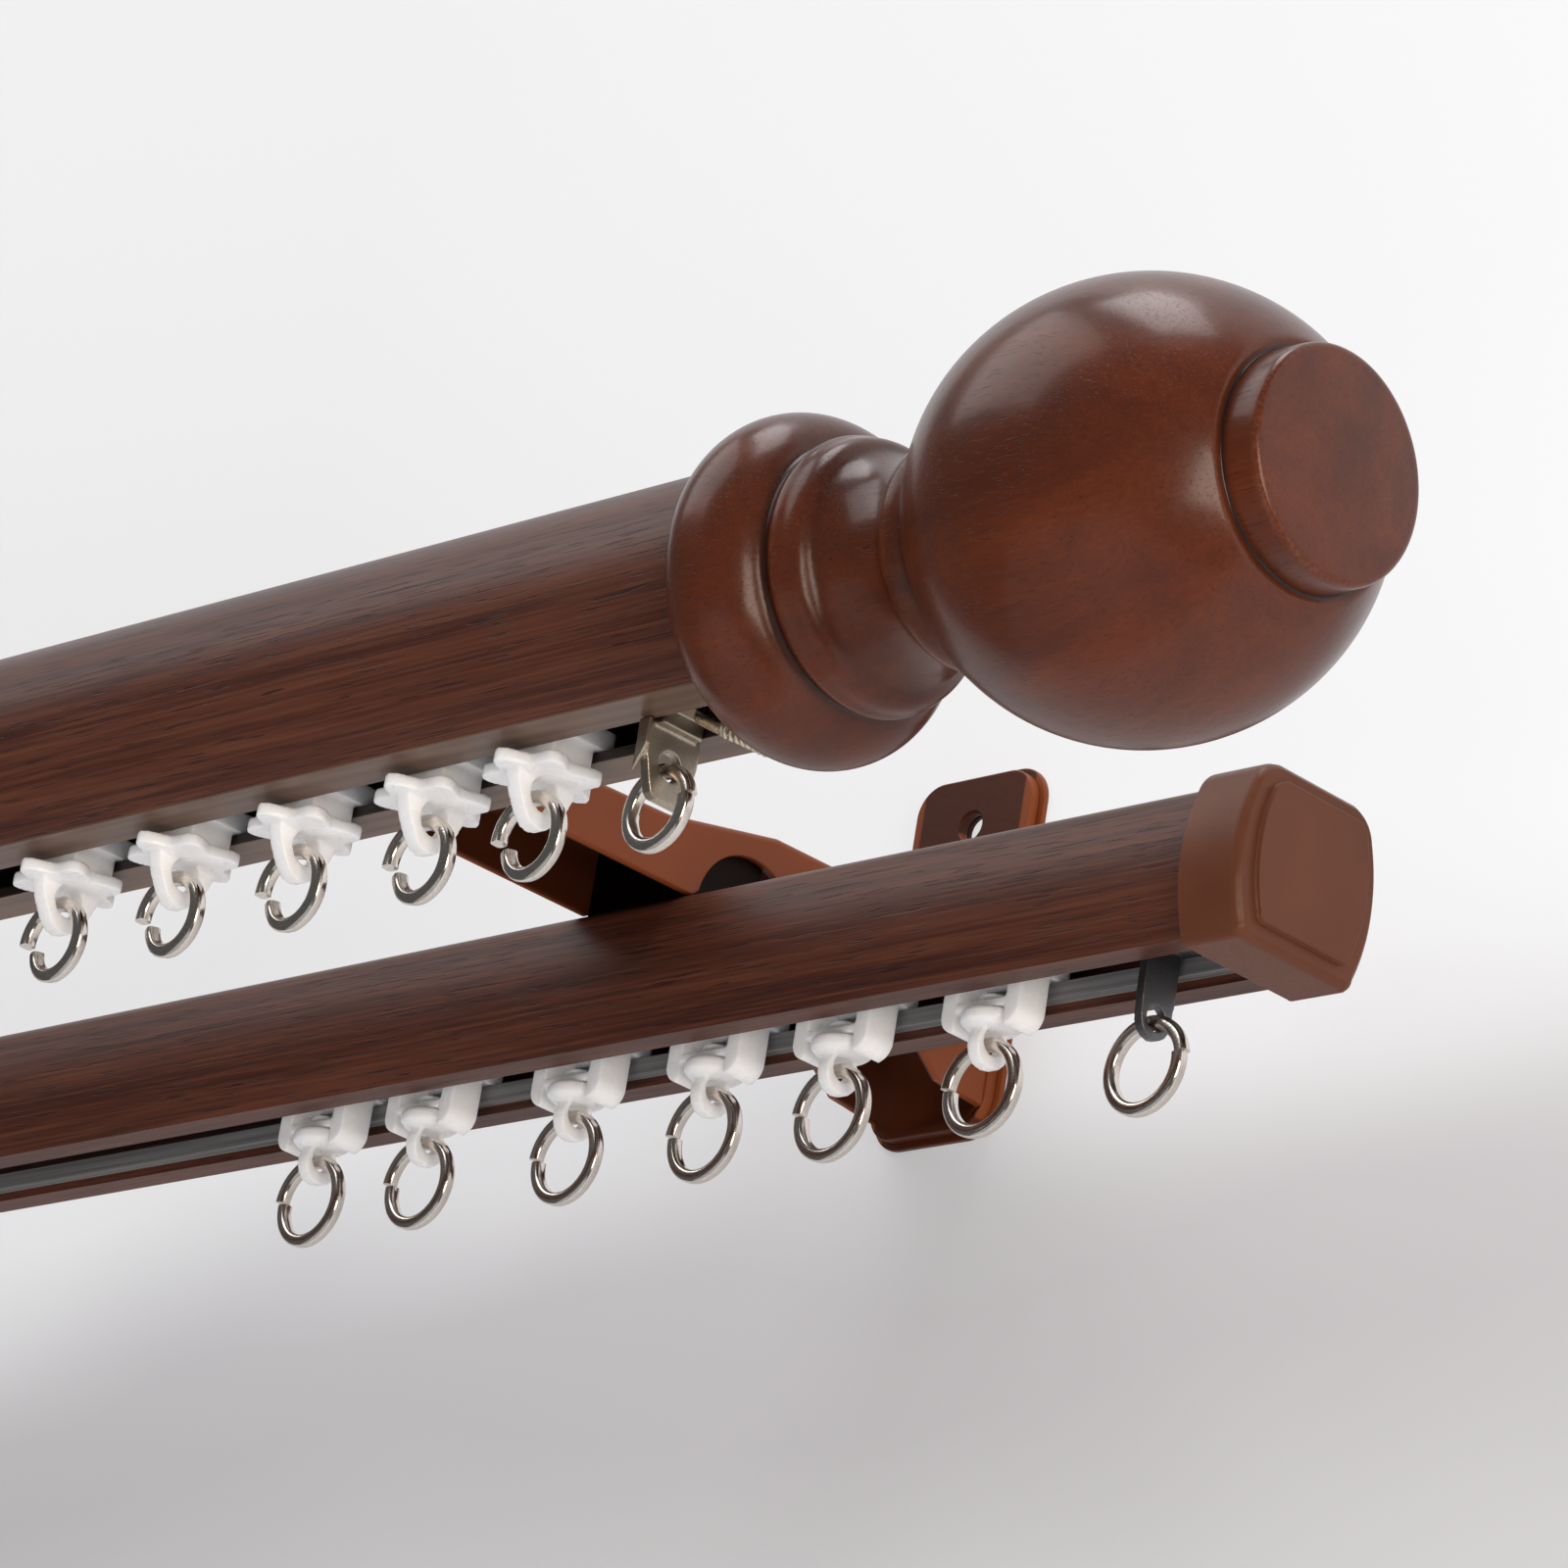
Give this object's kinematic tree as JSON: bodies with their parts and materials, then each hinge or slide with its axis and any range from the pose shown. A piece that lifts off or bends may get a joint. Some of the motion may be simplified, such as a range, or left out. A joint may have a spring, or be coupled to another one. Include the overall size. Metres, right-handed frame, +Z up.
{
  "type": "double curtain pole",
  "caption": "Double curtain pole: slotted round front pole with turned ball finials, smaller rear pole with caps, gliders with rings, on two steel wall brackets.",
  "frame": {"origin": "on the wall plane, at the centre of the four wall screw holes", "axes": "+X along the poles, to the right seen from the room; +Y into the wall; +Z up"},
  "size_m": [0.7858, 0.1838, 0.0879],
  "materials": {
    "front_pole": "wood-grain print",
    "rear_pole": "wood-grain print",
    "slot_liner": "grey nylon",
    "finial": "stained, satin lacquer",
    "end_cap": "moulded satin",
    "bracket": "satin brown paint",
    "hanger": "satin brown paint",
    "fixing_screw": "zinc plated",
    "finial_screw": "pale brass plated",
    "front_stop": "nickel plated",
    "rear_stop": "dark steel",
    "ring": "nickel-plated wire",
    "glider": "milky white"
  },
  "bodies": {
    "root": {"bracket_arm_left": "bracket", "bracket_arm_right": "bracket", "end_cap_left": "end_cap", "end_cap_right": "end_cap", "finial_left": "finial", "finial_right": "finial", "finial_screws": "finial_screw", "front_pole": "front_pole", "front_stop_left": "front_stop", "front_stop_right": "front_stop", "lock_screws": "fixing_screw", "pole_screws": "fixing_screw", "rear_hanger_left": "hanger", "rear_hanger_right": "hanger", "rear_pole": "rear_pole", "rear_stop_left": "rear_stop", "rear_stop_right": "rear_stop", "slot_liner_front": "slot_liner", "slot_liner_rear": "slot_liner", "wall_plate_left": "bracket", "wall_plate_right": "bracket"},
    "front_glider_1": {"front_glider_1": "glider"},
    "front_ring_1": {"front_ring_1": "ring"},
    "front_glider_2": {"front_glider_2": "glider"},
    "front_ring_2": {"front_ring_2": "ring"},
    "front_glider_3": {"front_glider_3": "glider"},
    "front_ring_3": {"front_ring_3": "ring"},
    "front_glider_4": {"front_glider_4": "glider"},
    "front_ring_4": {"front_ring_4": "ring"},
    "front_glider_5": {"front_glider_5": "glider"},
    "front_ring_5": {"front_ring_5": "ring"},
    "rear_carriage_1": {"rear_carriage_1": "glider"},
    "rear_eye_1": {"rear_eye_1": "glider"},
    "rear_ring_1": {"rear_ring_1": "ring"},
    "rear_carriage_2": {"rear_carriage_2": "glider"},
    "rear_eye_2": {"rear_eye_2": "glider"},
    "rear_ring_2": {"rear_ring_2": "ring"},
    "rear_carriage_3": {"rear_carriage_3": "glider"},
    "rear_eye_3": {"rear_eye_3": "glider"},
    "rear_ring_3": {"rear_ring_3": "ring"},
    "rear_carriage_4": {"rear_carriage_4": "glider"},
    "rear_eye_4": {"rear_eye_4": "glider"},
    "rear_ring_4": {"rear_ring_4": "ring"},
    "rear_carriage_5": {"rear_carriage_5": "glider"},
    "rear_eye_5": {"rear_eye_5": "glider"},
    "rear_ring_5": {"rear_ring_5": "ring"},
    "rear_carriage_6": {"rear_carriage_6": "glider"},
    "rear_eye_6": {"rear_eye_6": "glider"},
    "rear_ring_6": {"rear_ring_6": "ring"},
    "front_stop_ring_right": {"front_stop_ring_right": "ring"},
    "rear_stop_ring_right": {"rear_stop_ring_right": "ring"},
    "front_stop_ring_left": {"front_stop_ring_left": "ring"},
    "rear_stop_ring_left": {"rear_stop_ring_left": "ring"}
  },
  "joints": [
    {"name": "front_glider_1_slide", "type": "slide", "parent": "root", "child": "front_glider_1", "axis": [1, 0, 0], "range_m": [-0.00325, 0.0096]},
    {"name": "front_ring_1_swing", "type": "hinge", "parent": "front_glider_1", "child": "front_ring_1", "pos_m": [0.26265, -0.156, -0.0595], "axis": [1, 0, 0], "range_deg": [-60, 60]},
    {"name": "front_glider_2_slide", "type": "slide", "parent": "root", "child": "front_glider_2", "axis": [1, 0, 0], "range_m": [-0.0054, 0.00325]},
    {"name": "front_ring_2_swing", "type": "hinge", "parent": "front_glider_2", "child": "front_ring_2", "pos_m": [0.24195, -0.156, -0.0595], "axis": [1, 0, 0], "range_deg": [-60, 60]},
    {"name": "front_glider_3_slide", "type": "slide", "parent": "root", "child": "front_glider_3", "axis": [1, 0, 0], "range_m": [-0.00515, 0.0054]},
    {"name": "front_ring_3_swing", "type": "hinge", "parent": "front_glider_3", "child": "front_ring_3", "pos_m": [0.21695, -0.156, -0.0595], "axis": [1, 0, 0], "range_deg": [-60, 60]},
    {"name": "front_glider_4_slide", "type": "slide", "parent": "root", "child": "front_glider_4", "axis": [1, 0, 0], "range_m": [-0.00515, 0.00515]},
    {"name": "front_ring_4_swing", "type": "hinge", "parent": "front_glider_4", "child": "front_ring_4", "pos_m": [0.19245, -0.156, -0.0595], "axis": [1, 0, 0], "range_deg": [-60, 60]},
    {"name": "front_glider_5_slide", "type": "slide", "parent": "root", "child": "front_glider_5", "axis": [1, 0, 0], "range_m": [-0.4402, 0.00515]},
    {"name": "front_ring_5_swing", "type": "hinge", "parent": "front_glider_5", "child": "front_ring_5", "pos_m": [0.16795, -0.156, -0.0595], "axis": [1, 0, 0], "range_deg": [-60, 60]},
    {"name": "rear_carriage_1_slide", "type": "slide", "parent": "root", "child": "rear_carriage_1", "axis": [1, 0, 0], "range_m": [-0.0068, 0.0102]},
    {"name": "rear_eye_1_swivel", "type": "hinge", "parent": "rear_carriage_1", "child": "rear_eye_1", "pos_m": [0.24915, -0.059, -0.0535], "axis": [0, 0, 1], "range_deg": [-90, 90]},
    {"name": "rear_ring_1_swing", "type": "hinge", "parent": "rear_eye_1", "child": "rear_ring_1", "pos_m": [0.24915, -0.059, -0.0563], "axis": [1, 0, 0], "range_deg": [-60, 60]},
    {"name": "rear_carriage_2_slide", "type": "slide", "parent": "root", "child": "rear_carriage_2", "axis": [1, 0, 0], "range_m": [-0.00515, 0.0068]},
    {"name": "rear_eye_2_swivel", "type": "hinge", "parent": "rear_carriage_2", "child": "rear_eye_2", "pos_m": [0.22035, -0.059, -0.0535], "axis": [0, 0, 1], "range_deg": [-90, 90]},
    {"name": "rear_ring_2_swing", "type": "hinge", "parent": "rear_eye_2", "child": "rear_ring_2", "pos_m": [0.22035, -0.059, -0.0563], "axis": [1, 0, 0], "range_deg": [-60, 60]},
    {"name": "rear_carriage_3_slide", "type": "slide", "parent": "root", "child": "rear_carriage_3", "axis": [1, 0, 0], "range_m": [-0.00665, 0.00515]},
    {"name": "rear_eye_3_swivel", "type": "hinge", "parent": "rear_carriage_3", "child": "rear_eye_3", "pos_m": [0.19485, -0.059, -0.0535], "axis": [0, 0, 1], "range_deg": [-90, 90]},
    {"name": "rear_ring_3_swing", "type": "hinge", "parent": "rear_eye_3", "child": "rear_ring_3", "pos_m": [0.19485, -0.059, -0.0563], "axis": [1, 0, 0], "range_deg": [-60, 60]},
    {"name": "rear_carriage_4_slide", "type": "slide", "parent": "root", "child": "rear_carriage_4", "axis": [1, 0, 0], "range_m": [-0.00835, 0.00665]},
    {"name": "rear_eye_4_swivel", "type": "hinge", "parent": "rear_carriage_4", "child": "rear_eye_4", "pos_m": [0.16635, -0.059, -0.0535], "axis": [0, 0, 1], "range_deg": [-90, 90]},
    {"name": "rear_ring_4_swing", "type": "hinge", "parent": "rear_eye_4", "child": "rear_ring_4", "pos_m": [0.16635, -0.059, -0.0563], "axis": [1, 0, 0], "range_deg": [-60, 60]},
    {"name": "rear_carriage_5_slide", "type": "slide", "parent": "root", "child": "rear_carriage_5", "axis": [1, 0, 0], "range_m": [-0.00455, 0.00835]},
    {"name": "rear_eye_5_swivel", "type": "hinge", "parent": "rear_carriage_5", "child": "rear_eye_5", "pos_m": [0.13445, -0.059, -0.0535], "axis": [0, 0, 1], "range_deg": [-90, 90]},
    {"name": "rear_ring_5_swing", "type": "hinge", "parent": "rear_eye_5", "child": "rear_ring_5", "pos_m": [0.13445, -0.059, -0.0563], "axis": [1, 0, 0], "range_deg": [-60, 60]},
    {"name": "rear_carriage_6_slide", "type": "slide", "parent": "root", "child": "rear_carriage_6", "axis": [1, 0, 0], "range_m": [-0.3695, 0.00455]},
    {"name": "rear_eye_6_swivel", "type": "hinge", "parent": "rear_carriage_6", "child": "rear_eye_6", "pos_m": [0.11015, -0.059, -0.0535], "axis": [0, 0, 1], "range_deg": [-90, 90]},
    {"name": "rear_ring_6_swing", "type": "hinge", "parent": "rear_eye_6", "child": "rear_ring_6", "pos_m": [0.11015, -0.059, -0.0563], "axis": [1, 0, 0], "range_deg": [-60, 60]},
    {"name": "front_stop_ring_right_swing", "type": "hinge", "parent": "root", "child": "front_stop_ring_right", "pos_m": [0.28575, -0.156, -0.0595], "axis": [1, 0, 0], "range_deg": [-60, 60]},
    {"name": "rear_stop_ring_right_swing", "type": "hinge", "parent": "root", "child": "rear_stop_ring_right", "pos_m": [0.27935, -0.059, -0.057], "axis": [1, 0, 0], "range_deg": [-60, 60]},
    {"name": "front_stop_ring_left_swing", "type": "hinge", "parent": "root", "child": "front_stop_ring_left", "pos_m": [-0.28575, -0.156, -0.0595], "axis": [1, 0, 0], "range_deg": [-60, 60]},
    {"name": "rear_stop_ring_left_swing", "type": "hinge", "parent": "root", "child": "rear_stop_ring_left", "pos_m": [-0.27935, -0.059, -0.057], "axis": [1, 0, 0], "range_deg": [-60, 60]}
  ]
}
